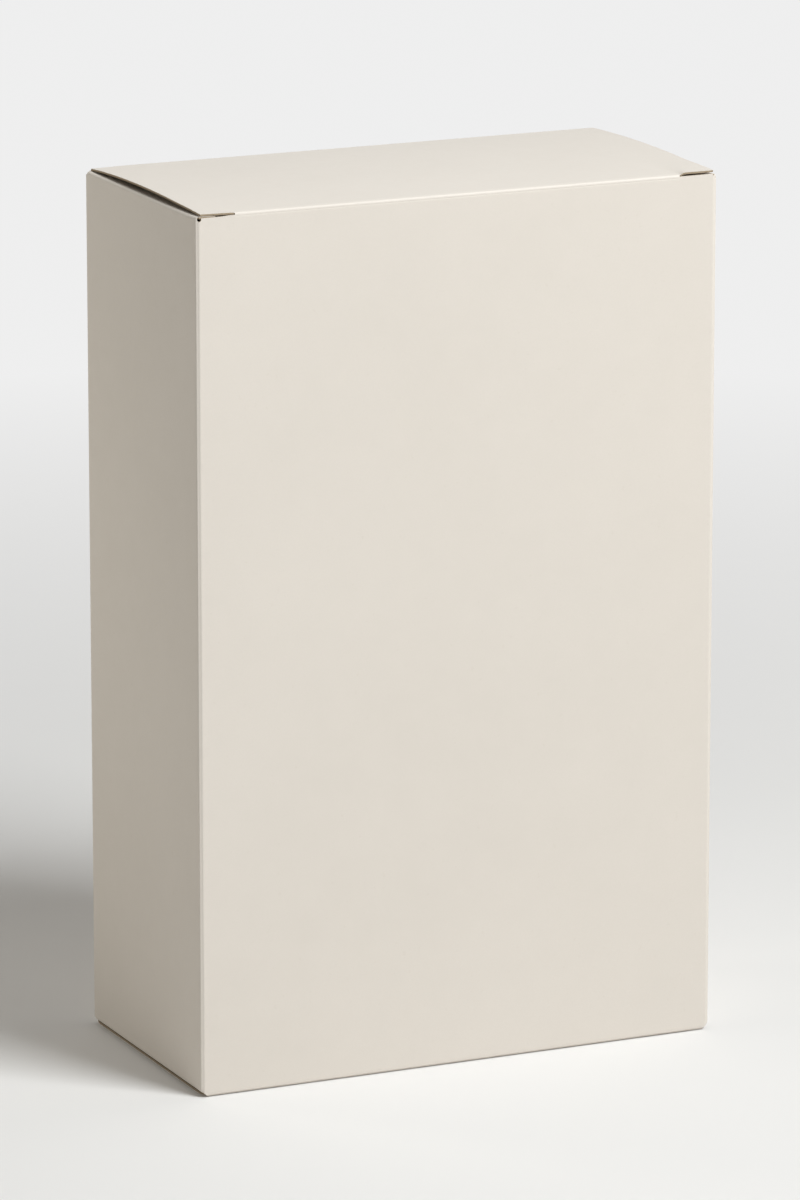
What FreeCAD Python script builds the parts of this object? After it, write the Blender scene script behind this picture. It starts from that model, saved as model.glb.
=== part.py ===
"""Folding carton for cereal: one shut, full pack, folded and glued from one sheet of board.

Millimetres. The front faces -Y, +X runs across the front, +Z is up, and the origin is on the
floor under the middle of the pack. Both closures are hinged on the front panel. Each lies over a
dust flap that is folded in from each side panel, and tucks in behind the back panel.
"""
import FreeCAD, Part
import math
import os

import Sketcher

V = FreeCAD.Vector
NODE = "carton"
SHEET = "sizes"

# How a sketch numbers its own origin, and the points of a line, arc or circle.
ORIGIN = (-1, 1)
START, END, CENTRE = 1, 2, 3

# How far, in mm, the outlines of cuts run past the pack.
BEYOND = "5"

SIZES = [
    ("width", 190.0, "across the front, outside to outside"),
    ("depth", 95.0, "front to back, outside to outside"),
    ("height", 300.0, "floor to the top closure at its creases"),
    ("board", 0.7, "thickness of the board"),
    ("fold_radius", 1.2, "outside radius of every folded crease"),
    ("crown_left", 1.5, "rise of the top closure at its left edge, midway back"),
    ("crown_right", 1.0, "rise of the top closure at its right edge, midway back"),
    ("top_inset_left", 1.7, "top closure's left edge, in from the side panel"),
    ("top_inset_right", 0.8, "top closure's right edge, in from the side panel"),
    ("bottom_inset", 1.0, "bottom closure's edges, in from the side panels"),
    ("flap_clearance", 0.25, "space between a dust flap and the closure over it"),
    ("gap_depth", 9.0, "how far in the space over a dust flap is open"),
    ("slit_length", 14.0, "cut at each end of the top front crease, from the corner"),
    ("slit_width", 0.5, "space between the closure and the front panel in that cut"),
    ("slit_depth", 4.0, "how far in the space behind a slit is open"),
    ("relief_radius", 0.7, "notch where a vertical crease meets the top creases"),
    ("relief_drop", 1.5, "top of the pack down to the middle of that notch"),
    ("relief_inset", 1.4, "side of the pack in to the middle of that notch"),
    ("foot_relief", 0.2, "how far the cut at a bottom front corner runs past the creases"),
    ("seam_setback", 1.8, "back of the pack to the cut edge of the glued side panel"),
]


def size(alias):
    return f"{SHEET}.{alias}"


HALF_WIDTH = f"{size('width')} / 2"
HALF_DEPTH = f"{size('depth')} / 2"
TOP = size("height")
BOARD = size("board")
RADIUS = size("fold_radius")
SHOULDER = f"({TOP} - {BOARD} - {size('flap_clearance')})"
FOOT = f"({BOARD} + {size('flap_clearance')})"

# Each side's place on X, and whether a cut in from there runs towards +X.
SIDES = {"left": (f"-{HALF_WIDTH}", True), "right": (HALF_WIDTH, False)}


def add_sizes(doc):
    """Spreadsheet of the driving dimensions, one row each: name, value, what it measures."""
    sheet = doc.addObject("Spreadsheet::Sheet", SHEET)
    for row, (alias, value, note) in enumerate(SIZES, start=1):
        sheet.set(f"A{row}", alias)
        sheet.set(f"B{row}", str(value))
        sheet.set(f"C{row}", note)
        sheet.setAlias(f"B{row}", alias)
    doc.recompute()


def add_sketch(body, name, plane, offset="0"):
    """Sketch on one of the body's origin planes, moved along the plane's normal by offset."""
    sketch = body.newObject("Sketcher::SketchObject", name)
    role = f"{plane}_Plane"
    origin_plane = [item for item in body.Origin.OriginFeatures if item.Role == role][0]
    sketch.AttachmentSupport = [(origin_plane, "")]
    sketch.MapMode = "FlatFace"
    sketch.setExpression("AttachmentOffset.Base.z", offset)
    return sketch


def pin_point(sketch, curve, end, corner):
    """Hold one end of a curve at a corner, given as two expressions from the sketch's origin."""
    for kind, expression in zip(("DistanceX", "DistanceY"), corner):
        value = float(sketch.evalExpression(expression))
        index = sketch.addConstraint(Sketcher.Constraint(kind, *ORIGIN, curve, end, value))
        sketch.setExpression(f"Constraints[{index}]", expression)


def arc_between(start, end, radius, bulge):
    """Arc from start to end; bulge is 1 where it swells to the right of its run, else -1."""
    chord = end - start
    middle = (start + end) * 0.5
    left = V(-chord.y, chord.x, 0).normalize()
    reach = math.sqrt(max(radius ** 2 - (chord.Length / 2) ** 2, 0))
    centre = middle + left * (reach * bulge)
    angles = [math.atan2(p.y - centre.y, p.x - centre.x) for p in (start, end)]
    if bulge < 0:
        angles.reverse()
    return Part.ArcOfCircle(Part.Circle(centre, V(0, 0, 1), radius), *angles)


def add_outline(sketch, corners, arcs=None):
    """Closed outline through the corners, run anticlockwise.

    arcs maps a side's number to (radius expression, bulge), and the other sides are straight.
    """
    arcs = arcs or {}
    points = [V(*(float(sketch.evalExpression(item)) for item in corner), 0) for corner in corners]
    ends = []
    for side, start in enumerate(points):
        end = points[(side + 1) % len(points)]
        if side in arcs:
            radius, bulge = arcs[side]
            radius_now = float(sketch.evalExpression(radius))
            curve = sketch.addGeometry(arc_between(start, end, radius_now, bulge))
            index = sketch.addConstraint(Sketcher.Constraint("Radius", curve, radius_now))
            sketch.setExpression(f"Constraints[{index}]", radius)
            ends.append((curve, START, END) if bulge > 0 else (curve, END, START))
        else:
            curve = sketch.addGeometry(Part.LineSegment(start, end))
            ends.append((curve, START, END))
    for side, (curve, first, last) in enumerate(ends):
        next_curve, next_first, _ = ends[(side + 1) % len(ends)]
        sketch.addConstraint(Sketcher.Constraint("Coincident", curve, last, next_curve, next_first))
        pin_point(sketch, curve, first, corners[side])


def add_rectangle(sketch, left, right, low, high):
    add_outline(sketch, [(left, low), (right, low), (right, high), (left, high)])


def cut(doc, body, sketch, name, depth=None, along_normal=False):
    """Pocket that must take material away: through everything, or to a depth.

    A cut to a depth runs against the sketch plane's normal, or along it if that is asked for.
    """
    before = body.Shape.Volume
    pocket = body.newObject("PartDesign::Pocket", name)
    pocket.Profile = sketch
    if depth is None:
        pocket.Type = "ThroughAll"
        pocket.Midplane = True
    else:
        pocket.Type = "Length"
        pocket.setExpression("Length", depth)
        pocket.Reversed = along_normal
    doc.recompute()
    if not body.Shape.Volume < before:
        raise RuntimeError(f"{name} removed nothing")


def crown_radius(crown):
    """Radius of an arc of this rise over the flat of the top closure."""
    chord = f"({size('depth')} - {BOARD} - 2 * {RADIUS})"
    return f"(({chord} ^ 2 / 4 + {crown} ^ 2) / (2 * {crown}))"


def add_side_profile(body, name, at, crown):
    """The pack seen from the side: folded front creases, crowned top, tucked back edges."""
    sketch = add_sketch(body, name, "YZ", at)
    tuck = f"{HALF_DEPTH} - {BOARD}"
    corners = [
        (f"-{HALF_DEPTH} + {RADIUS}", "0"),
        (f"{tuck} - {RADIUS}", "0"),
        (tuck, RADIUS),
        (HALF_DEPTH, RADIUS),
        (HALF_DEPTH, f"{TOP} - {RADIUS}"),
        (tuck, f"{TOP} - {RADIUS}"),
        (f"{tuck} - {RADIUS}", TOP),
        (f"-{HALF_DEPTH} + {RADIUS}", TOP),
        (f"-{HALF_DEPTH}", f"{TOP} - {RADIUS}"),
        (f"-{HALF_DEPTH}", RADIUS),
    ]
    fold = (RADIUS, 1)
    add_outline(sketch, corners, {1: fold, 5: fold, 6: (crown_radius(crown), 1), 7: fold, 9: fold})
    return sketch


def add_pack(doc, body):
    """The whole pack between its two side panels, before its creases and edges are cut."""
    left = add_side_profile(body, "left_profile", f"-{HALF_WIDTH}", size("crown_left"))
    right = add_side_profile(body, "right_profile", HALF_WIDTH, size("crown_right"))
    loft = body.newObject("PartDesign::AdditiveLoft", "pack")
    loft.Profile = left
    loft.Sections = [right]
    loft.Ruled = True
    doc.recompute()


def fold_vertical_creases(doc, body):
    """Three rounded corners, and the glued one, where the side panel's cut edge stands proud."""
    sketch = add_sketch(body, "vertical_crease_outline", "XY")
    outer = f"{HALF_WIDTH} + {BEYOND}"
    back = f"{HALF_DEPTH} + {BEYOND}"
    inner = f"{HALF_WIDTH} - {RADIUS}"
    start = f"{HALF_DEPTH} - {RADIUS}"
    hollow = (RADIUS, -1)
    add_outline(
        sketch,
        [(f"-({outer})", f"-({back})"), (f"-({inner})", f"-({back})"), (f"-({inner})", f"-{HALF_DEPTH}"),
         (f"-{HALF_WIDTH}", f"-({start})"), (f"-({outer})", f"-({start})")],
        {2: hollow},
    )
    add_outline(
        sketch,
        [(inner, f"-({back})"), (outer, f"-({back})"), (outer, f"-({start})"),
         (HALF_WIDTH, f"-({start})"), (inner, f"-{HALF_DEPTH}")],
        {3: hollow},
    )
    add_outline(
        sketch,
        [(f"-({outer})", start), (f"-{HALF_WIDTH}", start), (f"-({inner})", HALF_DEPTH),
         (f"-({inner})", back), (f"-({outer})", back)],
        {1: hollow},
    )
    lapped = f"{HALF_WIDTH} - {BOARD}"
    edge = f"{HALF_DEPTH} - {size('seam_setback')}"
    add_outline(
        sketch,
        [(lapped, edge), (outer, edge), (outer, back), (f"{lapped} - {RADIUS}", back),
         (f"{lapped} - {RADIUS}", HALF_DEPTH), (lapped, start)],
        {4: hollow},
    )
    cut(doc, body, sketch, "vertical_creases")


def cut_slits(doc, body):
    """Slits at both ends of the top front crease, between the closure and the front panel."""
    sketch = add_sketch(body, "slit_outline", "XZ", HALF_DEPTH)
    outer = f"{HALF_WIDTH} - {RADIUS}"
    inner = f"{HALF_WIDTH} - {size('slit_length')}"
    upper = f"{TOP} - {BOARD}"
    lower = f"{upper} - {size('slit_width')}"
    add_rectangle(sketch, f"-({outer})", f"-({inner})", lower, upper)
    add_rectangle(sketch, inner, outer, lower, upper)
    cut(doc, body, sketch, "slits", size("slit_depth"))


def notch_corners(doc, body):
    """Round relief notches at the top of both front vertical creases."""
    sketch = add_sketch(body, "relief_outline", "XZ", HALF_DEPTH)
    for sign in ("-", ""):
        centre = (f"{sign}({HALF_WIDTH} - {size('relief_inset')})", f"{TOP} - {size('relief_drop')}")
        place = V(*(float(sketch.evalExpression(item)) for item in centre), 0)
        radius = float(sketch.evalExpression(size("relief_radius")))
        circle = sketch.addGeometry(Part.Circle(place, V(0, 0, 1), radius))
        index = sketch.addConstraint(Sketcher.Constraint("Radius", circle, radius))
        sketch.setExpression(f"Constraints[{index}]", size("relief_radius"))
        pin_point(sketch, circle, CENTRE, centre)
    cut(doc, body, sketch, "relief_notches", f"{RADIUS} + {BOARD}")


def cut_foot_corners(doc, body):
    """Slanted relief cuts where a vertical crease meets the bottom creases, at the front."""
    sketch = add_sketch(body, "foot_relief_outline", "XZ", HALF_DEPTH)
    leg = f"(2 * {RADIUS} + {size('foot_relief')})"
    inner = f"{HALF_WIDTH} - {leg} - {BEYOND}"
    outer = f"{HALF_WIDTH} + {BEYOND}"
    below = f"-{BEYOND}"
    above = f"{leg} + {BEYOND}"
    add_outline(sketch, [(inner, below), (outer, below), (outer, above)])
    add_outline(sketch, [(f"-({outer})", above), (f"-({outer})", below), (f"-({inner})", below)])
    cut(doc, body, sketch, "foot_reliefs", f"{RADIUS} + {BOARD}")


def open_closure_gaps(doc, body):
    """Space between each dust flap and the closure over it, open at the side of the pack.

    It runs from the inside of the front panel to the inside of the tucked flap.
    """
    front = f"-{HALF_DEPTH} + {BOARD}"
    back = f"{HALF_DEPTH} - 2 * {BOARD}"
    flat_front = f"-{HALF_DEPTH} + {RADIUS}"
    flat_back = f"{HALF_DEPTH} - {BOARD} - {RADIUS}"
    underside = f"{TOP} - {BOARD}"
    for side, (face, towards_plus_x) in SIDES.items():
        crown = crown_radius(size(f"crown_{side}"))
        top = add_sketch(body, f"{side}_top_gap_outline", "YZ", face)
        corners = [(front, SHOULDER), (back, SHOULDER), (back, underside), (flat_back, underside),
                   (flat_front, underside), (front, underside)]
        add_outline(top, corners, {3: (crown, 1)})
        cut(doc, body, top, f"{side}_top_gap", size("gap_depth"), towards_plus_x)
        bottom = add_sketch(body, f"{side}_bottom_gap_outline", "YZ", face)
        add_rectangle(bottom, front, back, BOARD, FOOT)
        cut(doc, body, bottom, f"{side}_bottom_gap", size("gap_depth"), towards_plus_x)


def fold_side_creases(doc, body):
    """Rounded creases where the side panels turn in to the dust flaps."""
    sketch = add_sketch(body, "side_crease_outline", "XZ")
    hollow = (RADIUS, -1)
    outer = f"{HALF_WIDTH} + {BEYOND}"
    inner = f"{HALF_WIDTH} - {RADIUS}"
    top_start = f"{SHOULDER} - {RADIUS}"
    bottom_start = f"{FOOT} + {RADIUS}"
    add_outline(
        sketch,
        [(f"-({outer})", top_start), (f"-{HALF_WIDTH}", top_start), (f"-({inner})", SHOULDER),
         (f"-({outer})", SHOULDER)],
        {1: hollow},
    )
    add_outline(
        sketch,
        [(HALF_WIDTH, top_start), (outer, top_start), (outer, SHOULDER), (inner, SHOULDER)],
        {3: hollow},
    )
    add_outline(
        sketch,
        [(f"-({outer})", FOOT), (f"-({inner})", FOOT), (f"-{HALF_WIDTH}", bottom_start),
         (f"-({outer})", bottom_start)],
        {1: hollow},
    )
    add_outline(
        sketch,
        [(inner, FOOT), (outer, FOOT), (outer, bottom_start), (HALF_WIDTH, bottom_start)],
        {3: hollow},
    )
    cut(doc, body, sketch, "side_creases")


def trim_closures(doc, body):
    """Cut edges of both closures, set in from the side panels."""
    sketch = add_sketch(body, "closure_edge_outline", "XZ")
    outer = f"{HALF_WIDTH} + {BEYOND}"
    above = f"{TOP} + {size('crown_left')} + {size('crown_right')} + {BEYOND}"
    left_edge = f"-{HALF_WIDTH} + {size('top_inset_left')}"
    right_edge = f"{HALF_WIDTH} - {size('top_inset_right')}"
    bottom_edge = f"{HALF_WIDTH} - {size('bottom_inset')}"
    add_rectangle(sketch, f"-({outer})", left_edge, SHOULDER, above)
    add_rectangle(sketch, right_edge, outer, SHOULDER, above)
    add_rectangle(sketch, f"-({outer})", f"-({bottom_edge})", f"-{BEYOND}", FOOT)
    add_rectangle(sketch, bottom_edge, outer, f"-{BEYOND}", FOOT)
    cut(doc, body, sketch, "closure_edges")


def build_carton(doc):
    body = doc.addObject("PartDesign::Body", NODE)
    body.Label = NODE
    body.Placement = FreeCAD.Placement()
    doc.recompute()
    add_pack(doc, body)
    fold_vertical_creases(doc, body)
    cut_slits(doc, body)
    notch_corners(doc, body)
    cut_foot_corners(doc, body)
    open_closure_gaps(doc, body)
    fold_side_creases(doc, body)
    trim_closures(doc, body)
    return body


def check_document(doc):
    """Stop if any object failed to build, or if a sketch has a point or size left free."""
    for item in doc.Objects:
        if "Invalid" in item.State or "Error" in item.State:
            raise RuntimeError(f"{item.Label} failed: {item.State}")
        if item.TypeId == "Sketcher::SketchObject" and not item.FullyConstrained:
            raise RuntimeError(f"{item.Label} isn't fully constrained")


def check_solid(part):
    shape = part.Shape
    if shape.isNull() or not shape.isValid() or len(shape.Solids) != 1:
        raise RuntimeError(f"{part.Label} isn't one valid solid")


def main():
    doc = FreeCAD.newDocument("cereal_carton")
    add_sizes(doc)
    carton = build_carton(doc)
    doc.recompute()
    check_document(doc)
    check_solid(carton)
    os.makedirs("parts", exist_ok=True)
    carton.Shape.exportStep(os.path.join("parts", f"{carton.Label}.step"))
    box = carton.Shape.optimalBoundingBox(False)
    print(f"{carton.Label}: {box.XLength:.2f} x {box.YLength:.2f} x {box.ZLength:.2f} mm, "
          f"{carton.Shape.Volume / 1000:.1f} cm3, {len(carton.Shape.Faces)} faces")


main()
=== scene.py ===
"""Looks of the cereal carton: folded board with scored creases, cut edges and loose closures.

Lengths of the board are in millimetres, and become metres when the mesh is made.
"""
import math

import bpy
import numpy as np
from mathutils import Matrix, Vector


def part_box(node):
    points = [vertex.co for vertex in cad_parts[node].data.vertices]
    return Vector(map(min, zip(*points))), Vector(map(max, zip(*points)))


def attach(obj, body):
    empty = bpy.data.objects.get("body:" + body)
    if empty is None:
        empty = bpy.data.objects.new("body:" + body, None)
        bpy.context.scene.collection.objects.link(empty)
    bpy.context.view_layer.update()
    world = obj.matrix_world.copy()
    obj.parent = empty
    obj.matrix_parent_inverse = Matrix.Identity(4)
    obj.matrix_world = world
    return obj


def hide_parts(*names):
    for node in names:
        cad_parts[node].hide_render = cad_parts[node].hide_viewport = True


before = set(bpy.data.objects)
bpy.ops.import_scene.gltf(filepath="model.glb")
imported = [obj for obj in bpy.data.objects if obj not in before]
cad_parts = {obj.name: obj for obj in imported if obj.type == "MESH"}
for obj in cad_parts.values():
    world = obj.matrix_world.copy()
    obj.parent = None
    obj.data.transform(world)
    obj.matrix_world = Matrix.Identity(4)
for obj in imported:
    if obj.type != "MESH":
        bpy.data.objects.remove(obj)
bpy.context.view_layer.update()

MM = 0.001
LOW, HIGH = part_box("carton")

# The folded pack: half its width and depth, and the height of the lid's flat
CROWN_LEFT = 1.45
CROWN_RIGHT = 1.3
SIDE = (HIGH.x - LOW.x) / MM / 2
FRONT = (HIGH.y - LOW.y) / MM / 2
TOP = float(round(HIGH.z / MM - CROWN_LEFT))
BOARD = 0.7
FOLD = 1.2
FOLD_SQUARE = 3.0
FLAP_GAP = 0.25
FOOT_GAP = 0.8

# Where the dust flaps turn over the side panels, and the lines about which the folds turn
SHOULDER = TOP - BOARD - FLAP_GAP
FOOT = BOARD + FOOT_GAP
TURN_X = SIDE - FOLD
TURN_Y = FRONT - FOLD

# The tuck behind the back panel, and the flat part of a closure in front of it
TUCK_PLAY = 0.05
TUCK_LENGTH = 18.0
TUCK_NARROWING = 0.05
TUCK_Y = FRONT - BOARD - TUCK_PLAY
LID_BACK = TUCK_Y - FOLD
LID_DEPTH = LID_BACK + TURN_Y

# Slits at the ends of the front crease, and the sill of the front panel under them
SLIT_LENGTH = 14.0
SLIT_EASE = 0.5
SILL_LEFT = 1.05
SILL_LEFT_END = 0.8
SILL_CHANGE_START = 8
SILL_CHANGE_LENGTH = 5
SILL_RIGHT = 0.6
LID_EDGE_SETBACK = 0.3

# Round notches at the top front corners, and slanted cuts at the foot
NOTCH_RADIUS = 0.65
NOTCH_INSET = 1.3
NOTCH_DROP = 1.6
SMALL_NOTCH_RADIUS = 0.3
SMALL_NOTCH_DROP = 0.9
NOTCH_CAP_GAP = 0.07
FOOT_CUT = 2.5
FOOT_CUT_EASE = 0.5
BOTTOM_CAP_SHARE = 0.75

# How far the edges of the closures stand in from the side panels
LEFT_INSET_FRONT = 1.7
LEFT_INSET_BACK = 1.8
RIGHT_INSET_FRONT = 1.5
RIGHT_INSET_BACK = 0.8
BOTTOM_INSET = 1.3
BOTTOM_INSET_RUN = 4
BOTTOM_CORNER_REACH = 9

# Free ends of the lid: the lift at the front of each, and the dip at the back of the left one
LIFT_DEPTH = 21
LIFT_RIGHT = 0.68
LIFT_RIGHT_RUN = 1.8
LIFT_RIGHT_SPREAD = 0.6
LIFT_LEFT = [(0, 0), (3, 0.1), (12.3, 0.28)]
DIP_LEFT = 0.15
DIP_LEFT_DEPTH = 16
DIP_LEFT_RUN = 11

# Dust flaps: length, the place of their back edge, how they hang, and how their edges come in from the fold
DUST_LENGTH = 62.0
DUST_BACK = 45.9
DUST_DROOP = 3.0
DUST_DROOP_RUN = 18
DUST_DROOP_ACROSS = 14
DUST_DROOP_ALONG = 20
DUST_RISE = 0.35
DUST_RISE_REACH = 7
DUST_FRONT_TAPER = [(0, 0), (5.6, 0.03), (6.4, 1.0), (9, 3.2), (DUST_LENGTH, 14.0)]
DUST_BACK_TAPER = [(0, 0), (3, 0.3), (DUST_LENGTH, 12.0)]

# The glued seam at the back right
SEAM_SETBACK = 1.8
GLUE_LENGTH = 12.0
GLUE_PLAY = 0.04
GLUE_SHOULDER = 1.5
GLUE_TAPER = 0.9

# Score lines, the rubbing beside them and the slight waviness of the panels
SCORE_DEPTH = 0.05
SCORE_WIDTH = 0.17
SIDE_SCORE = 0.4
WEAR_REACH = 0.9
BOW = 0.22
BOW_PHASES = {"front": 0.4, "back": 2.1, "left": 3.3, "right": 1.2, "lid": 4.0, "bottom": 5.0}
LID_BOW = 0.5

# A cut edge: how far down it the coating shows, and a line in the fibre below
COAT_SHARE = 0.14
FIBRE_SHARE = 0.55

# Fineness of the mesh
QUARTER = math.pi / 2
SHARP_DEGREES = 38
MERGES_PER_MM = 2000
NEARLY = 0.001
CURVE_STEPS = 400
CREASE_STEPS = 31
FOLD_STEPS = 20
BOTTOM_FOLD_STEPS = 16
TUCK_FOLD_STEPS = 14
UPRIGHT_STEPS = 26
JOINT = 14.0
PANEL_SPACING = 11
FINE_RUNS = [0, 0.08, 0.16, 0.25, 0.36, 0.5, 0.7, 1.0, 1.5, 2.3, 3.5, 5.5, 9.0]
COARSE_RUNS = [0, 1.0, 2.5, 5.0, 9.0]

# A vertical crease from above: distance along it from the wide panel, and degrees turned by then
CREASE_TURNS = [(0, 0), (0.15, 8), (0.38, 13), (0.50, 28), (0.88, 30), (1.02, 19), (1.32, 22), (1.50, 45),
                (1.72, 62), (1.92, 78), (2.12, 90)]

# Colours
CREAM_SHADE = (0.753, 0.709, 0.652)
CREAM = (0.781, 0.736, 0.679)
CREAM_CLOUD = (0.800, 0.752, 0.695)
CREAM_FIBRE = (0.735, 0.688, 0.627)
CREAM_SPECK = (0.62, 0.56, 0.48)
CREAM_RUBBED = (0.830, 0.780, 0.714)
KRAFT_SHADE = (0.285, 0.220, 0.150)
KRAFT = (0.390, 0.310, 0.222)
KRAFT_STRAND = (0.460, 0.385, 0.290)
FLOOR_SHADE = (0.61, 0.59, 0.565)
FLOOR = (0.63, 0.61, 0.585)

# The floor and the backdrop as the camera sees them
FLOOR_SEEN = (0.82, 0.82, 0.82)
BACKDROP = (0.86, 0.86, 0.86)


def smooth(value):
    """Eases from 0 to 1 as value goes from 0 to 1."""
    value = min(max(value, 0.0), 1.0)
    return value * value * (3 - 2 * value)


def blend(first, second, share):
    """Value this share of the way from first to second."""
    return first + (second - first) * share


def follow(table, at):
    """Value at a point of a table of (place, value) steps."""
    places, values = zip(*table)
    return float(np.interp(at, places, values))


def score(distance):
    """How far the board is pressed in, this far from the middle of a score line."""
    return -SCORE_DEPTH * math.exp(-((distance / SCORE_WIDTH) ** 2))


def bow(across, along, phase):
    """Waviness of a flat panel, from shares of its width and height. It always goes inward."""
    rise = math.sin(math.pi * min(max(across, 0), 1)) * math.sin(math.pi * min(max(along, 0), 1))
    ripple = 0.5 + 0.3 * math.sin(5.1 * along + phase) + 0.2 * math.sin(4.3 * across + 2 * phase)
    return -BOW * rise * ripple


def graded(length, start=FINE_RUNS):
    """Distances along a run, close together at the ends where it meets a fold."""
    close = FINE_RUNS[-1]
    count = max(3, int(length / PANEL_SPACING))
    middle = list(np.linspace(close, length - close, count)[1:-1])
    return start + middle + [length - item for item in reversed(FINE_RUNS)]


def quarter_turn(steps):
    """Angles on the way round a right-angled fold."""
    return [QUARTER * (step / steps) for step in range(steps + 1)]


class Sheet:
    """Board kept as pairs of points, one on its coated face and one on its plain back."""

    def __init__(self):
        self.numbers = {}
        self.face = []
        self.back = []
        self.worn = []
        self.quads = []

    def pair(self, point, normal, worn=0.0):
        """Number of the pair at this point of the face. A second one at the same place is the first again."""
        key = tuple(int(round(float(item) * MERGES_PER_MM)) for item in point)
        if key not in self.numbers:
            point = np.array(point, float)
            normal = np.array(normal, float)
            self.numbers[key] = len(self.face)
            self.face.append(point)
            self.back.append(point - normal / np.linalg.norm(normal) * BOARD)
            self.worn.append(worn)
        return self.numbers[key]

    def patch(self, rows):
        """Joins neighbouring rows of pairs, with the coated face outward."""
        quads = []
        outward = 0.0
        for lower, upper in zip(rows, rows[1:]):
            for a, b, c, d in zip(lower, lower[1:], upper[1:], upper):
                quads.append((a, b, c, d))
                across = np.cross(self.face[c] - self.face[a], self.face[d] - self.face[b])
                outward += float(np.dot(across, self.face[a] - self.back[a]))
        self.quads += quads if outward > 0 else [quad[::-1] for quad in quads]

    def rims(self):
        """Directed edges that have board on one side only."""
        edges = {}
        for quad in self.quads:
            for a, b in zip(quad, quad[1:] + quad[:1]):
                edges[(a, b)] = True
        return [edge for edge in edges if edge[::-1] not in edges]

    def mesh(self, name, coated, kraft):
        """Both faces, and cut edges that show a thin line of coating over the fibre."""
        count = len(self.face)
        points = self.face + self.back
        worn = self.worn + self.worn
        faces = list(self.quads)
        slots = [0] * len(faces)
        for quad in self.quads:
            faces.append(tuple(count + item for item in reversed(quad)))
            slots.append(1)
        rims = self.rims()
        ring = sorted({item for edge in rims for item in edge})
        layers = [{item: item for item in ring}]
        for share in (COAT_SHARE, FIBRE_SHARE):
            layer = {}
            for item in ring:
                layer[item] = len(points)
                points.append(blend(self.face[item], self.back[item], share))
                worn.append(self.worn[item])
            layers.append(layer)
        layers.append({item: count + item for item in ring})
        for number, (upper, lower) in enumerate(zip(layers, layers[1:])):
            for a, b in rims:
                faces.append((upper[a], lower[a], lower[b], upper[b]))
                slots.append(0 if number == 0 else 1)
        mesh = bpy.data.meshes.new(name)
        mesh.from_pydata([tuple(point * MM) for point in points], [], faces)
        mesh.materials.append(coated)
        mesh.materials.append(kraft)
        mesh.polygons.foreach_set("material_index", slots)
        mesh.polygons.foreach_set("use_smooth", [True] * len(faces))
        mesh.attributes.new("worn", "FLOAT", "POINT").data.foreach_set("value", worn)
        mesh.update()
        mesh.set_sharp_from_angle(angle=math.radians(SHARP_DEGREES))
        mesh.validate()
        return mesh


# Columns of the sleeve

def crease_curve():
    """The vertical crease: how far in from the side panel and the wide panel it is, along its length."""
    length = CREASE_TURNS[-1][0]
    step = length / CURVE_STEPS
    inset = [0.0]
    depth = [0.0]
    for number in range(CURVE_STEPS):
        turn = math.radians(follow(CREASE_TURNS, (number + 0.5) * step))
        inset.append(inset[-1] + math.cos(turn) * step)
        depth.append(depth[-1] + math.sin(turn) * step)
    along = np.linspace(0, length, CURVE_STEPS + 1)
    return along, inset[-1] - np.array(inset), np.array(depth)


CREASE_ALONG, CREASE_INSET, CREASE_DEPTH = crease_curve()
CREASE_LENGTH = CREASE_TURNS[-1][0]
CREASE_X = float(CREASE_INSET[0])
CREASE_Y = float(CREASE_DEPTH[-1])
PANEL_X = SIDE - CREASE_X
PANEL_Y = FRONT - CREASE_Y


def crease_point(x_sign, y_sign, along, lap=0.0):
    """Place, normal and inset on a vertical crease, from 0 at the wide panel to its length at the side."""
    inset = float(np.interp(along, CREASE_ALONG, CREASE_INSET))
    depth = float(np.interp(along, CREASE_ALONG, CREASE_DEPTH))
    turn = math.radians(follow(CREASE_TURNS, along))
    place = (x_sign * (SIDE - lap - inset), y_sign * (FRONT - depth))
    return place, (x_sign * math.sin(turn), y_sign * math.cos(turn)), inset


def crease_at(inset):
    """Where along the crease it is this far in from the side panel."""
    return float(np.interp(-inset, -CREASE_INSET, CREASE_ALONG))


def front_top(x_sign, inset):
    """Top of the front panel at this inset: round notch, sill of the slit, then the fold."""
    middle, drop, radius = NOTCH_INSET, NOTCH_DROP, NOTCH_RADIUS
    if x_sign > 0:
        middle, drop, radius = CAP_INSET + SMALL_NOTCH_RADIUS, SMALL_NOTCH_DROP, SMALL_NOTCH_RADIUS
    across = abs(inset - middle) / radius
    if across < 1:
        return TOP - drop - radius * math.sqrt(1 - across * across)
    if inset < middle:
        return SHOULDER - FOLD
    change = smooth((inset - SILL_CHANGE_START) / SILL_CHANGE_LENGTH)
    sill = SILL_RIGHT if x_sign > 0 else blend(SILL_LEFT, SILL_LEFT_END, change)
    return blend(TOP - sill, TOP - FOLD, hinge(SIDE - inset))


def front_bottom(inset):
    """Bottom of the front panel this far in from the side panel: slanted cut, then the fold."""
    return max(FOLD, FOOT_CUT - inset)


def column(zone, place, normal, top, bottom, dent, lidded=0.0, inset=None, along=None):
    """One upright line of the sleeve. Dent is its own relief. Lidded is 1 where the lid is joined to it."""
    return {"zone": zone, "place": place, "normal": normal, "top": top, "bottom": bottom, "dent": dent,
            "lidded": lidded, "inset": inset, "along": along}


# Where the left notch meets the fold of the dust flap. From there to the side panel the crease turns over.
CAP_INSET = NOTCH_INSET - math.sqrt(NOTCH_RADIUS ** 2 - (TOP - NOTCH_DROP - SHOULDER + FOLD) ** 2)
CAP_ALONG = crease_at(CAP_INSET)


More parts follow.
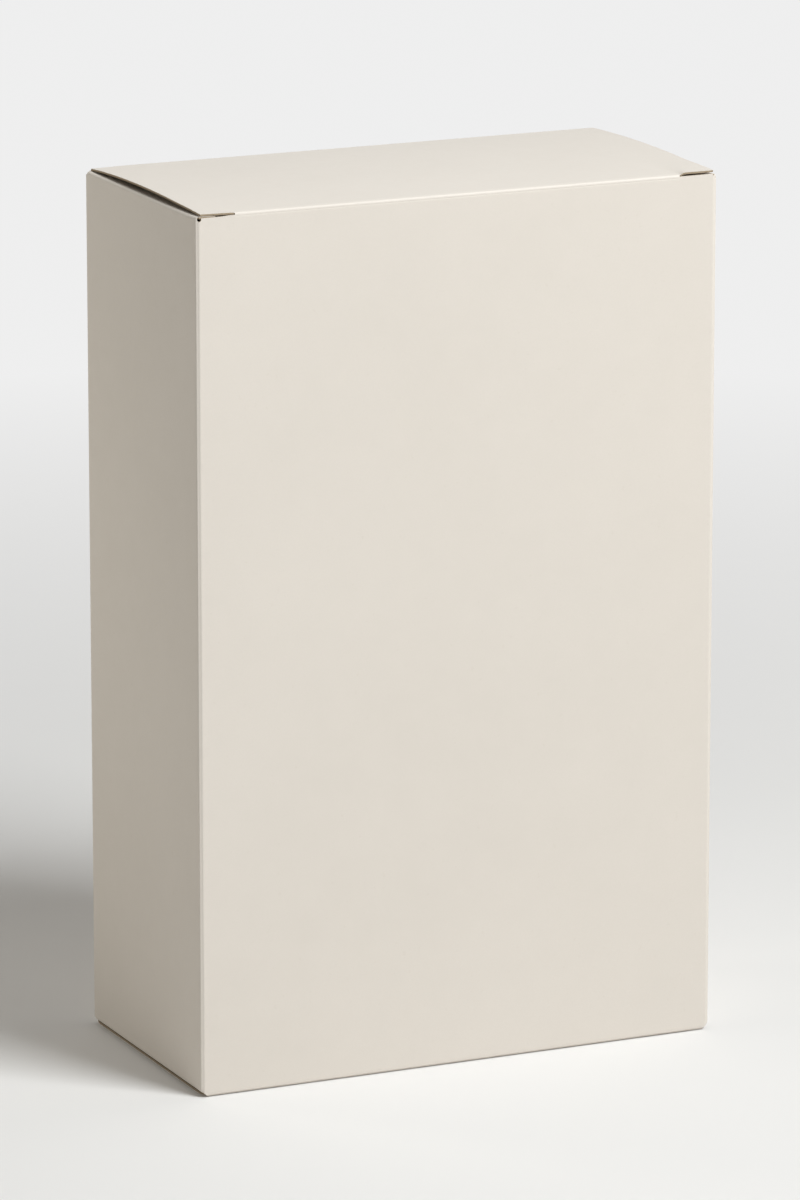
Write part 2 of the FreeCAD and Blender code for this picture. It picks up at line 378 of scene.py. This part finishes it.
def crease_columns(zone, x_sign, y_sign, toward_side):
    """Columns of one vertical crease. From CAP_ALONG to the side it turns over into the dust flaps."""
    places = sorted(list(np.linspace(0, CREASE_LENGTH, CREASE_STEPS)) + [CAP_ALONG])
    found = []
    for along in places if toward_side else places[::-1]:
        place, normal, inset = crease_point(x_sign, y_sign, along)
        top = SHOULDER - FOLD
        bottom = FOOT + FOLD
        if along < CAP_ALONG - NEARLY:
            if y_sign < 0:
                top = front_top(x_sign, inset)
                bottom = min(bottom, front_bottom(inset))
            else:
                top = blend(TOP - FOLD, top, smooth(along / CAP_ALONG))
                bottom = blend(FOLD, bottom, smooth(along / CAP_ALONG))
        found.append(column(zone, place, normal, top, bottom, 0.0, inset=inset, along=along))
    return found


def foot_fold(inset):
    """1 where the front panel is folded under, easing to 0 at its slanted foot cuts."""
    return smooth((inset - CREASE_X) / FOOT_CUT_EASE)


def hinge(x):
    """1 where the lid is joined to the front panel, easing to 0 at the ends of its slits."""
    return smooth((SIDE - SLIT_LENGTH - abs(x)) / SLIT_EASE)


# Distances in from the side panel: close together at the notch's edge and at the end of the slit
NOTCH_EDGE = NOTCH_INSET + NOTCH_RADIUS
BY_NOTCH = [-0.25, -0.17, -0.1, -0.05, -0.02, -0.001, 0.1, 0.3, 0.65, 1.25, 2.05, 3.05, 4.25, 5.75, 7.35,
            9.05]
BY_SLIT_END = [-1.6, -0.8, -0.4, -0.2, 0, 0.17, 0.33, 0.5, 0.9, 1.7, 3.2, 5.8, 9.5, 14, 20, 27, 35, 44, 53,
               62, 71.5]
FRONT_INSETS = ([CREASE_X] + [NOTCH_EDGE + step for step in BY_NOTCH]
                + [SLIT_LENGTH + step for step in BY_SLIT_END])


def front_places():
    """Places across the front, from right to left."""
    right = [SIDE - inset for inset in FRONT_INSETS]
    return right + [0.0] + [-item for item in reversed(right)]


def sleeve_columns():
    """Columns round the pack, from the right panel's cut edge to the end of the glue flap."""
    found = []
    side_top = SHOULDER - FOLD
    side_bottom = FOOT + FOLD
    seam = FRONT - SEAM_SETBACK
    length = seam + PANEL_Y
    for run in graded(length, COARSE_RUNS):
        dent = SIDE_SCORE * score(length - run)
        found.append(column("right", (SIDE, seam - run), (1, 0), side_top, side_bottom, dent))
    found += crease_columns("front_right", 1, -1, False)[1:]
    for x in front_places()[1:]:
        inset = SIDE - abs(x)
        found.append(column("front", (x, -FRONT), (0, -1), front_top(x, inset), front_bottom(inset), 0.0,
                            hinge(x), inset))
    found += crease_columns("front_left", -1, -1, True)[1:]
    length = 2 * PANEL_Y
    for run in sorted(graded(length)[1:] + [DUST_BACK + PANEL_Y]):
        dent = SIDE_SCORE * (score(run) + score(length - run))
        found.append(column("left", (-SIDE, run - PANEL_Y), (-1, 0), side_top, side_bottom, dent))
    found += crease_columns("back_left", -1, 1, False)[1:]
    lap = BOARD + GLUE_PLAY
    length = 2 * PANEL_X - lap
    for run in graded(length)[1:]:
        found.append(column("back", (run - PANEL_X, FRONT), (0, 1), TOP - FOLD, FOLD, 0.0))
    for along in np.linspace(0, CREASE_LENGTH, CREASE_STEPS)[1:]:
        place, normal, _ = crease_point(1, 1, along, lap)
        drop = smooth(along / CREASE_LENGTH) * GLUE_SHOULDER
        found.append(column("back_right", place, normal, TOP - FOLD - drop, FOLD + drop, 0.0))
    for run in (0.4, 1.0, 2.0, 4.0, 7.0, GLUE_LENGTH):
        place = (SIDE - lap, PANEL_Y - run)
        top = TOP - FOLD - GLUE_SHOULDER - run * GLUE_TAPER
        bottom = FOLD + GLUE_SHOULDER + run * GLUE_TAPER
        found.append(column("glue", place, (1, 0), top, bottom, 0.0))
    return found


def panel_bow(item, z):
    """Waviness of the sleeve here. Its creases and its glue flap have none."""
    x, y = item["place"]
    zone = item["zone"]
    along = (z - FOLD) / (TOP - 2 * FOLD)
    if zone in ("front", "back"):
        return bow((x + PANEL_X) / (2 * PANEL_X), along, BOW_PHASES[zone])
    if zone in ("left", "right"):
        return bow((y + PANEL_Y) / (2 * PANEL_Y), along, BOW_PHASES[zone])
    return 0.0


def wear(*distances):
    """Rubbing of the coating near a fold, 1 on the fold itself."""
    return max(math.exp(-((distance / WEAR_REACH) ** 2)) for distance in distances)


def column_wear(item):
    """Rubbing of a whole column, which is on a vertical crease or near one."""
    x, y = item["place"]
    if item["along"] is not None or item["zone"] == "back_right":
        return 1.0
    if item["zone"] in ("front", "back"):
        return wear(PANEL_X - abs(x))
    return wear(PANEL_Y - abs(y))


def sleeve_pair(sheet, item, z):
    """One pair of points of the sleeve, pressed in at its score lines."""
    if item["zone"] in ("left", "right"):
        folded_top = folded_bottom = 1.0
    elif item["zone"].startswith("front_") and item["along"] > CAP_ALONG - NEARLY:
        folded_top = folded_bottom = 1.0
    elif item["zone"] == "front":
        folded_top = item["lidded"]
        folded_bottom = foot_fold(item["inset"])
    else:
        folded_top = folded_bottom = 0.0
    below_top = item["top"] - z
    above_bottom = z - item["bottom"]
    dent = item["dent"] + panel_bow(item, z)
    dent += folded_top * score(below_top) + folded_bottom * score(above_bottom)
    worn = max(column_wear(item), folded_top * wear(below_top), folded_bottom * wear(above_bottom))
    x, y = item["place"]
    normal_x, normal_y = item["normal"]
    return sheet.pair((x + normal_x * dent, y + normal_y * dent, z), (normal_x, normal_y, 0), worn)


def add_sleeve(sheet, columns):
    """The four upright panels, and the top and bottom ends of their folds."""
    ends = FINE_RUNS + [JOINT]
    middle = list(np.linspace(JOINT, TOP - JOINT, UPRIGHT_STEPS)[1:-1])
    rows = []
    for end in ends:
        share = end / JOINT
        rows.append([sleeve_pair(sheet, item, blend(item["bottom"], JOINT, share)) for item in columns])
    for z in middle:
        rows.append([sleeve_pair(sheet, item, z) for item in columns])
    for end in reversed(ends):
        share = end / JOINT
        rows.append([sleeve_pair(sheet, item, blend(item["top"], TOP - JOINT, share)) for item in columns])
    sheet.patch(rows)


# The lid

def lid_lift(x, y):
    """How far the free ends of the lid stand up or down, beyond the ends of its hinge."""
    free = abs(x) - SIDE + SLIT_LENGTH
    away = y + TURN_Y
    front = smooth(1 - away / LIFT_DEPTH)
    if x > 0:
        spread = LIFT_RIGHT_SPREAD * away
        return LIFT_RIGHT * front * smooth((free + spread) / (LIFT_RIGHT_RUN + 2 * spread))
    if free <= 0:
        return 0.0
    back = max(0.0, 1 - (LID_BACK - y) / DIP_LEFT_DEPTH) ** 2
    return front * follow(LIFT_LEFT, free) - DIP_LEFT * back * smooth(free / DIP_LEFT_RUN)


def lid_height(x, y):
    """Height of the lid: its flat, a crown along the depth that is higher at the left, and its lift."""
    middle = (LID_BACK - TURN_Y) / 2
    half = LID_DEPTH / 2
    crown = blend(CROWN_LEFT, CROWN_RIGHT, (x + SIDE) / (2 * SIDE))
    arch = 1 - min(1.0, abs(y - middle) / half) ** 2
    return TOP + crown * arch + lid_lift(x, max(-TURN_Y, min(y, LID_BACK)))


def lid_columns(left, right):
    """Places across the lid between these edges: slit ends at both sides, hinge columns between."""
    outer = [0, 0.025, 0.05, 0.075, 0.12, 0.2, 0.32, 0.46, 0.6, 0.74, 0.86, 0.94, 0.98, 1.0]
    hinged = [x for x in front_places() if abs(x) < SIDE - SLIT_LENGTH + NEARLY]
    start = [blend(hinged[0], right, share) for share in reversed(outer)]
    end = [blend(hinged[-1], left, share) for share in outer]
    return start, hinged, end


def lid_edges(y):
    """Left and right edge of the lid at this depth."""
    share = (y + TURN_Y) / LID_DEPTH
    share = min(max(share, 0), 1)
    left = -SIDE + blend(LEFT_INSET_FRONT, LEFT_INSET_BACK, share)
    return left, SIDE - blend(RIGHT_INSET_FRONT, RIGHT_INSET_BACK, share)


def lid_row(sheet, y, from_fold, worn):
    """One row of the lid, from right to left, this far from its front fold."""
    left, right = lid_edges(y)
    start, hinged, end = lid_columns(left, right)
    row = []
    for x in start[:-1] + hinged + end[1:]:
        across = (x - left) / (right - left)
        along = (y + TURN_Y) / (2 * TURN_Y)
        dent = hinge(x) * score(from_fold) + LID_BOW * bow(across, along, BOW_PHASES["lid"])
        row.append(sheet.pair((x, y, lid_height(x, y) + dent), (0, 0, 1), worn * hinge(x)))
    return row


def fold_reach(turn):
    """How far the front crease stands out, against a round one: it is pressed a little square."""
    return (math.cos(turn) ** FOLD_SQUARE + math.sin(turn) ** FOLD_SQUARE) ** (-1 / FOLD_SQUARE)


def front_fold_point(x, turn):
    """Point and normal on the crease between front panel and lid."""
    dent = hinge(x) * (score(FOLD * turn) + score(FOLD * (QUARTER - turn)))
    normal = np.array((0, -math.cos(turn), math.sin(turn)))
    return np.array((x, -TURN_Y, TOP - FOLD)) + normal * (FOLD * fold_reach(turn) + dent), normal


def add_lid(sheet):
    """Front crease, lid, back crease and the tuck behind the back panel."""
    fold = quarter_turn(FOLD_STEPS)
    hinged = lid_columns(*lid_edges(-TURN_Y))[1]
    rows = [[sheet.pair(*front_fold_point(x, turn), 1.0) for x in hinged] for turn in fold]
    sheet.patch(rows)
    add_slit_edges(sheet, [turn for turn in fold if FOLD * (1 - math.cos(turn)) >= LID_EDGE_SETBACK])
    flat = graded(LID_DEPTH)
    rows = []
    for run in flat:
        rows.append(lid_row(sheet, run - TURN_Y, run, wear(run, flat[-1] - run)))
    rows += tuck_rows(sheet, rows[-1], 1)
    sheet.patch(rows)


def add_slit_edges(sheet, fold):
    """Front edge of the lid beyond the hinge, cut free from the front panel."""
    start, hinged, end = lid_columns(*lid_edges(-TURN_Y))
    for places in (start, end):
        rows = []
        for turn in fold:
            row = []
            for x in places:
                curved, normal = front_fold_point(x, turn)
                flat = np.array((x, curved[1], lid_height(x, -TURN_Y)))
                free = smooth((abs(x) - SIDE + SLIT_LENGTH) / SLIT_EASE)
                lean = blend(normal, np.array((0, 0, 1)), free)
                row.append(sheet.pair(blend(curved, flat, free), lean))
            rows.append(row)
        sheet.patch(rows)


def tuck_rows(sheet, last, up):
    """The crease at the back of a closure, and the tuck inside the back panel. Up is 1 at the top."""
    rows = []
    base = [sheet.face[item] for item in last]
    for turn in quarter_turn(TUCK_FOLD_STEPS)[1:]:
        row = []
        for point in base:
            dent = score(FOLD * turn) + score(FOLD * (QUARTER - turn))
            normal = np.array((0, math.sin(turn), up * math.cos(turn)))
            centre = np.array((point[0], LID_BACK, point[2] - up * (FOLD + score(0))))
            row.append(sheet.pair(centre + normal * (FOLD + dent), normal, 1.0))
        rows.append(row)
    base = [sheet.face[item] for item in rows[-1]]
    for run in (0.16, 0.36, 0.7, 1.5, 3.0, 6.0, 10.0, 14.0, TUCK_LENGTH):
        row = []
        for point in base:
            narrow = 1 - TUCK_NARROWING * run / TUCK_LENGTH
            row.append(sheet.pair((point[0] * narrow, TUCK_Y + score(run), point[2] - up * run), (0, 1, 0)))
        rows.append(row)
    return rows


# The bottom

def bottom_columns(edge_inset):
    """Places across the bottom closure, when its edges stand this far in from the side panels."""
    found = []
    for x in front_places():
        inset = SIDE - abs(x)
        near = max(0.0, 1 - (inset - CREASE_X) / BOTTOM_CORNER_REACH) ** 2
        inset += (edge_inset - CREASE_X) * near
        found.append(math.copysign(SIDE - inset, x))
    return found


def add_bottom(sheet, columns):
    """Front crease at the foot, bottom closure, back crease and tuck."""
    rows = []
    starts = [item for item in columns if item["zone"] == "front"]
    starts.insert(0, [item for item in columns if item["zone"] == "front_right"][-1])
    for turn in quarter_turn(BOTTOM_FOLD_STEPS):
        z = FOLD * (1 - math.sin(turn))
        row = []
        for place, x in enumerate(bottom_columns(max(CREASE_X, FOOT_CUT - z))):
            item = starts[place]
            if turn == 0:
                row.append(sleeve_pair(sheet, item, item["bottom"]))
                continue
            folded = foot_fold(item["inset"])
            dent = folded * (score(FOLD * turn) + score(FOLD * (QUARTER - turn)))
            normal = np.array((0, -math.cos(turn), -math.sin(turn)))
            centre = np.array((x, -TURN_Y, FOLD))
            row.append(sheet.pair(centre + normal * (FOLD + dent), normal, 1.0))
        rows.append(row)
    flat = graded(LID_DEPTH)
    for run in flat[1:]:
        y = run - TURN_Y
        edge = blend(FOOT_CUT, BOTTOM_INSET, smooth(run / BOTTOM_INSET_RUN))
        row = []
        for x in bottom_columns(edge):
            rise = -score(run) - score(flat[-1] - run)
            rise -= bow((x + SIDE) / (2 * SIDE), run / flat[-1], BOW_PHASES["bottom"])
            row.append(sheet.pair((x, y, rise), (0, 0, -1), wear(run, flat[-1] - run)))
        rows.append(row)
    rows += tuck_rows(sheet, rows[-1], -1)
    sheet.patch(rows)


# Dust flaps

DUST_RUNS = FINE_RUNS[1:6] + [0.8, 1.3, 2.0, 2.8, 3.6, 4.6, 5.6, 5.9, 6.4, 7.5, 9, 12, 16, 22, 30, 40, 50,
                              DUST_LENGTH]


def cap_start(turn, x_sign, up):
    """Where along the front crease a dust flap's fold begins. At the top left the notch cuts into it."""
    if up < 0:
        return blend(CAP_ALONG, BOTTOM_CAP_SHARE * CAP_ALONG, smooth(math.sin(turn)))
    if x_sign > 0:
        return CAP_ALONG
    height = SHOULDER - FOLD + FOLD * math.sin(turn) - TOP + NOTCH_DROP
    nearest = crease_at(NOTCH_INSET - NOTCH_CAP_GAP)
    if abs(height) >= NOTCH_RADIUS:
        return nearest
    reach = math.sqrt(NOTCH_RADIUS ** 2 - height ** 2) / math.cos(turn)
    return max(nearest, crease_at(NOTCH_INSET - reach))


def front_rise(y, up):
    """The front end of an upper dust flap springs up against the lid."""
    return DUST_RISE * math.exp(-(y + TURN_Y) / DUST_RISE_REACH) if up > 0 else 0.0


def add_dust_flap(sheet, columns, x_sign, up):
    """The fold over a side panel and the flap under the closure. Up is 1 at the top."""
    zone = "right" if x_sign > 0 else "left"
    corner = [item for item in columns if item["zone"] == "front_" + zone]
    corner = [item for item in corner if item["along"] > CAP_ALONG - NEARLY]
    panel = [item for item in columns if item["zone"] == zone and item["place"][1] < DUST_BACK + NEARLY]
    used = sorted(corner + panel, key=lambda item: item["place"][1])
    level = SHOULDER - FOLD if up > 0 else FOOT + FOLD
    rows = []
    for turn in quarter_turn(FOLD_STEPS):
        start = cap_start(turn, x_sign, up)
        row = []
        for item in used:
            if turn == 0:
                row.append(sleeve_pair(sheet, item, level))
                continue
            (x, y), (normal_x, normal_y) = item["place"], item["normal"]
            if item["along"] is not None:
                share = (CREASE_LENGTH - item["along"]) / (CREASE_LENGTH - CAP_ALONG)
                along = CREASE_LENGTH - share * (CREASE_LENGTH - start)
                (x, y), (normal_x, normal_y), _ = crease_point(x_sign, -1, along)
            dent = score(FOLD * turn) + score(FOLD * (QUARTER - turn)) + item["dent"] * math.cos(turn) ** 2
            normal = np.array((normal_x * math.cos(turn), normal_y * math.cos(turn), up * math.sin(turn)))
            reach = (abs(x) - TURN_X) * math.cos(turn)
            z = level + up * FOLD * math.sin(turn) + front_rise(y, up) * math.sin(turn)
            point = np.array((x_sign * (TURN_X + reach), y, z))
            row.append(sheet.pair(point + normal * dent, normal, 1.0))
        rows.append(row)
    places = [sheet.face[item][1] for item in rows[-1]]
    first = places[0]
    last = places[-1]
    for run in DUST_RUNS:
        front = first + follow(DUST_FRONT_TAPER, run)
        back = last - follow(DUST_BACK_TAPER, run)
        row = []
        for place in places:
            y = blend(front, back, (place - first) / (last - first))
            droop = DUST_DROOP * (1 - math.exp(-run / DUST_DROOP_RUN))
            droop *= smooth((y - first) / DUST_DROOP_ACROSS + run / DUST_DROOP_ALONG)
            z = level + up * (FOLD + score(run) - droop) + front_rise(y, up)
            row.append(sheet.pair((x_sign * (TURN_X - run), y, z), (0, 0, up), wear(run)))
        rows.append(row)
    sheet.patch(rows)


# Materials

class Nodes:
    """Adds and joins the nodes of one material."""

    def __init__(self, name):
        self.material = bpy.data.materials.new(name)
        self.material.use_nodes = True
        self.tree = self.material.node_tree
        self.tree.nodes.clear()
        self.place = self.add("ShaderNodeTexCoord").outputs["Object"]

    def add(self, kind, **settings):
        node = self.tree.nodes.new(kind)
        for name, value in settings.items():
            setattr(node, name, value)
        return node

    def join(self, output, node_input):
        self.tree.links.new(output, node_input)

    def noise(self, scale, detail=2.0, rough=0.5, stretch=None):
        """Values round 0.5, with features about 1 / scale metres across."""
        node = self.add("ShaderNodeTexNoise", noise_dimensions="3D")
        node.inputs["Scale"].default_value = scale
        node.inputs["Detail"].default_value = detail
        node.inputs["Roughness"].default_value = rough
        place = self.place
        if stretch:
            mapping = self.add("ShaderNodeMapping")
            mapping.inputs["Scale"].default_value = stretch
            self.join(place, mapping.inputs["Vector"])
            place = mapping.outputs["Vector"]
        self.join(place, node.inputs["Vector"])
        return node.outputs["Fac"]

    def spread(self, value, low, high, to_low=0.0, to_high=1.0):
        """Values from low to high, stretched to run from to_low to to_high."""
        node = self.add("ShaderNodeMapRange", clamp=True)
        node.inputs["From Min"].default_value = low
        node.inputs["From Max"].default_value = high
        node.inputs["To Min"].default_value = to_low
        node.inputs["To Max"].default_value = to_high
        self.join(value, node.inputs["Value"])
        return node.outputs["Result"]

    def attribute(self, name):
        return self.add("ShaderNodeAttribute", attribute_name=name).outputs["Fac"]

    def mix(self, share, first, second):
        """Mix of two colours, each a colour or an output."""
        node = self.add("ShaderNodeMix", data_type="RGBA")
        self.join(share, node.inputs["Factor"])
        for name, item in (("A", first), ("B", second)):
            socket = [found for found in node.inputs if found.name == name and found.type == "RGBA"][0]
            if isinstance(item, tuple):
                socket.default_value = (*item, 1.0)
            else:
                self.join(item, socket)
        return [found for found in node.outputs if found.type == "RGBA"][0]

    def times(self, first, second):
        """Product of an output and a number or another output."""
        node = self.add("ShaderNodeMath", operation="MULTIPLY")
        self.join(first, node.inputs[0])
        if isinstance(second, float):
            node.inputs[1].default_value = second
        else:
            self.join(second, node.inputs[1])
        return node.outputs["Value"]

    def bump(self, height, depth, strength, under=None):
        """Relief this many metres deep, on top of another one."""
        node = self.add("ShaderNodeBump")
        node.inputs["Distance"].default_value = depth
        node.inputs["Strength"].default_value = strength
        self.join(height, node.inputs["Height"])
        if under is not None:
            self.join(under, node.inputs["Normal"])
        return node.outputs["Normal"]

    def finish(self, colour, roughness, normal, specular):
        shader = self.add("ShaderNodeBsdfPrincipled")
        shader.inputs["Specular IOR Level"].default_value = specular
        self.join(colour, shader.inputs["Base Color"])
        self.join(roughness, shader.inputs["Roughness"])
        self.join(normal, shader.inputs["Normal"])
        output = self.add("ShaderNodeOutputMaterial")
        self.join(shader.outputs["BSDF"], output.inputs["Surface"])
        return self.material


def coated_material():
    """Cream clay coating over board: soft blotches, fine fibre under the coat, rubbed folds."""
    nodes = Nodes("coated_board")
    blotch = nodes.spread(nodes.noise(11.0, 3.0, 0.55), 0.3, 0.7)
    cloud = nodes.spread(nodes.noise(95.0, 3.0, 0.6), 0.3, 0.7)
    fibre = nodes.noise(1500.0, 3.0, 0.65)
    speck = nodes.spread(nodes.noise(520.0, 1.0, 0.5), 0.72, 0.8)
    colour = nodes.mix(blotch, CREAM_SHADE, CREAM)
    colour = nodes.mix(nodes.times(cloud, 0.35), colour, CREAM_CLOUD)
    colour = nodes.mix(nodes.times(nodes.spread(fibre, 0.3, 0.7), 0.30), colour, CREAM_FIBRE)
    colour = nodes.mix(nodes.times(speck, 0.10), colour, CREAM_SPECK)
    worn = nodes.times(nodes.attribute("worn"), nodes.spread(nodes.noise(700.0, 3.0, 0.7), 0.35, 0.7))
    colour = nodes.mix(nodes.times(worn, 0.30), colour, CREAM_RUBBED)
    roughness = nodes.spread(nodes.noise(260.0, 3.0, 0.6), 0.2, 0.8, 0.50, 0.62)
    normal = nodes.bump(nodes.noise(120.0, 2.0, 0.5), 0.00003, 0.35)
    normal = nodes.bump(fibre, 0.00002, 0.3, normal)
    return nodes.finish(colour, roughness, normal, 0.35)


def kraft_material():
    """Plain back and cut edges of the board: layered brown fibre."""
    nodes = Nodes("kraft_fibre")
    fibre = nodes.noise(1800.0, 4.0, 0.7)
    strand = nodes.noise(400.0, 4.0, 0.7, (1.0, 1.0, 6.0))
    colour = nodes.mix(nodes.spread(fibre, 0.3, 0.7), KRAFT_SHADE, KRAFT)
    colour = nodes.mix(nodes.times(nodes.spread(strand, 0.35, 0.7), 0.5), colour, KRAFT_STRAND)
    roughness = nodes.spread(fibre, 0.2, 0.8, 0.80, 0.95)
    normal = nodes.bump(fibre, 0.00008, 0.6)
    return nodes.finish(colour, roughness, normal, 0.2)


def seen_ray(tree):
    """1 for the rays that show the backdrop itself: from the camera, in gloss and through glass."""
    path = tree.nodes.new("ShaderNodeLightPath")
    total = path.outputs["Is Camera Ray"]
    for name in ("Is Glossy Ray", "Is Transmission Ray"):
        either = tree.nodes.new("ShaderNodeMath")
        either.operation = "MAXIMUM"
        tree.links.new(total, either.inputs[0])
        tree.links.new(path.outputs[name], either.inputs[1])
        total = either.outputs["Value"]
    return total


def floor_material():
    """Warm pale floor. The camera sees it paler, and far from the pack it fades to the backdrop."""
    nodes = Nodes("studio_floor")
    seen = seen_ray(nodes.tree)
    plain = nodes.mix(nodes.noise(3.0, 2.0, 0.5), FLOOR_SHADE, FLOOR)
    colour = nodes.mix(seen, plain, FLOOR_SEEN)
    shader = nodes.add("ShaderNodeBsdfPrincipled")
    shader.inputs["Specular IOR Level"].default_value = 0.1
    nodes.join(colour, shader.inputs["Base Color"])
    nodes.join(nodes.spread(nodes.noise(40.0), 0.2, 0.8, 0.85, 0.95), shader.inputs["Roughness"])
    nodes.join(nodes.bump(nodes.noise(600.0), 0.00002, 0.2), shader.inputs["Normal"])
    backdrop = nodes.add("ShaderNodeEmission")
    backdrop.inputs["Color"].default_value = (*BACKDROP, 1)
    backdrop.inputs["Strength"].default_value = 1.0
    reach = nodes.add("ShaderNodeVectorMath", operation="LENGTH")
    nodes.join(nodes.place, reach.inputs[0])
    far = nodes.spread(reach.outputs["Value"], 0.35, 1.1)
    blend_shader = nodes.add("ShaderNodeMixShader")
    nodes.join(nodes.times(seen, far), blend_shader.inputs["Fac"])
    nodes.join(shader.outputs["BSDF"], blend_shader.inputs[1])
    nodes.join(backdrop.outputs["Emission"], blend_shader.inputs[2])
    output = nodes.add("ShaderNodeOutputMaterial")
    nodes.join(blend_shader.outputs["Shader"], output.inputs["Surface"])
    return nodes.material


# Object, floor, light and camera

def add_carton():
    """The carton as one sheet of board, folded, tucked and glued."""
    sheet = Sheet()
    columns = sleeve_columns()
    add_sleeve(sheet, columns)
    add_lid(sheet)
    add_bottom(sheet, columns)
    for x_sign in (-1, 1):
        for up in (-1, 1):
            add_dust_flap(sheet, columns, x_sign, up)
    mesh = sheet.mesh("carton_board", coated_material(), kraft_material())
    piece = bpy.data.objects.new("carton_board", mesh)
    bpy.context.scene.collection.objects.link(piece)
    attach(piece, "root")
    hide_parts("carton")


def add_floor():
    """A round floor, a tenth of a millimetre under the pack."""
    count = 96
    radius = 8.0
    level = -0.0001
    points = [(0, 0, level)]
    for step in range(count):
        angle = 2 * math.pi * step / count
        points.append((radius * math.cos(angle), radius * math.sin(angle), level))
    faces = [(0, step + 1, (step + 1) % count + 1) for step in range(count)]
    mesh = bpy.data.meshes.new("studio_floor")
    mesh.from_pydata(points, [], faces)
    mesh.materials.append(floor_material())
    floor = bpy.data.objects.new("studio_floor", mesh)
    bpy.context.scene.collection.objects.link(floor)


def add_lamp(name, place, aim, size, power, colour, spread=180):
    """A soft lamp of this width and height, turned towards a point. Places are in metres, power in watts."""
    lamp = bpy.data.lights.new(name, "AREA")
    lamp.shape = "RECTANGLE"
    lamp.size, lamp.size_y = size
    lamp.energy = power
    lamp.color = colour
    lamp.spread = math.radians(spread)
    holder = bpy.data.objects.new(name, lamp)
    holder.location = place
    holder.rotation_euler = (Vector(aim) - Vector(place)).to_track_quat("-Z", "Y").to_euler()
    holder.visible_camera = False
    bpy.context.scene.collection.objects.link(holder)


def add_world():
    """Even, slightly warm light from all round, that the camera sees as plain pale grey."""
    world = bpy.data.worlds.new("studio")
    world.use_nodes = True
    tree = world.node_tree
    tree.nodes.clear()
    light = tree.nodes.new("ShaderNodeBackground")
    light.inputs["Color"].default_value = (1.0, 0.965, 0.90, 1)
    light.inputs["Strength"].default_value = 0.28
    pale = tree.nodes.new("ShaderNodeBackground")
    pale.inputs["Color"].default_value = (*BACKDROP, 1)
    pale.inputs["Strength"].default_value = 1.0
    output = tree.nodes.new("ShaderNodeOutputWorld")
    mix = tree.nodes.new("ShaderNodeMixShader")
    tree.links.new(seen_ray(tree), mix.inputs["Fac"])
    tree.links.new(light.outputs["Background"], mix.inputs[1])
    tree.links.new(pale.outputs["Background"], mix.inputs[2])
    tree.links.new(mix.outputs["Shader"], output.inputs["Surface"])
    bpy.context.scene.world = world


def add_light():
    """The main light from the front right, a weak warm one for the left panel, and a low one behind."""
    middle = (0, 0, TOP * MM / 2)
    left_panel = (-0.095, 0.03, 0.16)
    add_lamp("key", place=(0.82, -1.45, 1.97), aim=middle, size=(1.0, 1.0), power=57.0,
             colour=(0.985, 1.0, 1.0))
    add_lamp("left_fill", place=(-0.34, 0.27, 0.21), aim=left_panel, size=(0.1, 0.40), power=0.111,
             colour=(1.0, 0.94, 0.81), spread=100)
    add_lamp("rear_fill", place=(0.85, 1.7, 0.10), aim=middle, size=(1.4, 0.17), power=9.0,
             colour=(1.0, 0.99, 0.97))


def add_camera():
    """Camera that looks at the middle of the pack from the front left, a little above."""
    azimuth = math.radians(-24.57)
    elevation = math.radians(13.72)
    distance = 2.516
    aim = Vector((-0.0002, 0.0001, 0.1513))
    back = Vector((math.sin(azimuth) * math.cos(elevation), -math.cos(azimuth) * math.cos(elevation),
                   math.sin(elevation)))
    data = bpy.data.cameras.new("camera")
    data.sensor_fit = "VERTICAL"
    data.sensor_height = 36.0
    data.lens = 221.68
    data.clip_end = 50.0
    camera = bpy.data.objects.new("camera", data)
    camera.location = aim + back * distance
    camera.rotation_euler = back.to_track_quat("Z", "Y").to_euler()
    bpy.context.scene.collection.objects.link(camera)
    bpy.context.scene.camera = camera


add_carton()
add_floor()
add_world()
add_light()
add_camera()
bpy.context.scene.view_settings.view_transform = "Standard"
bpy.context.view_layer.update()
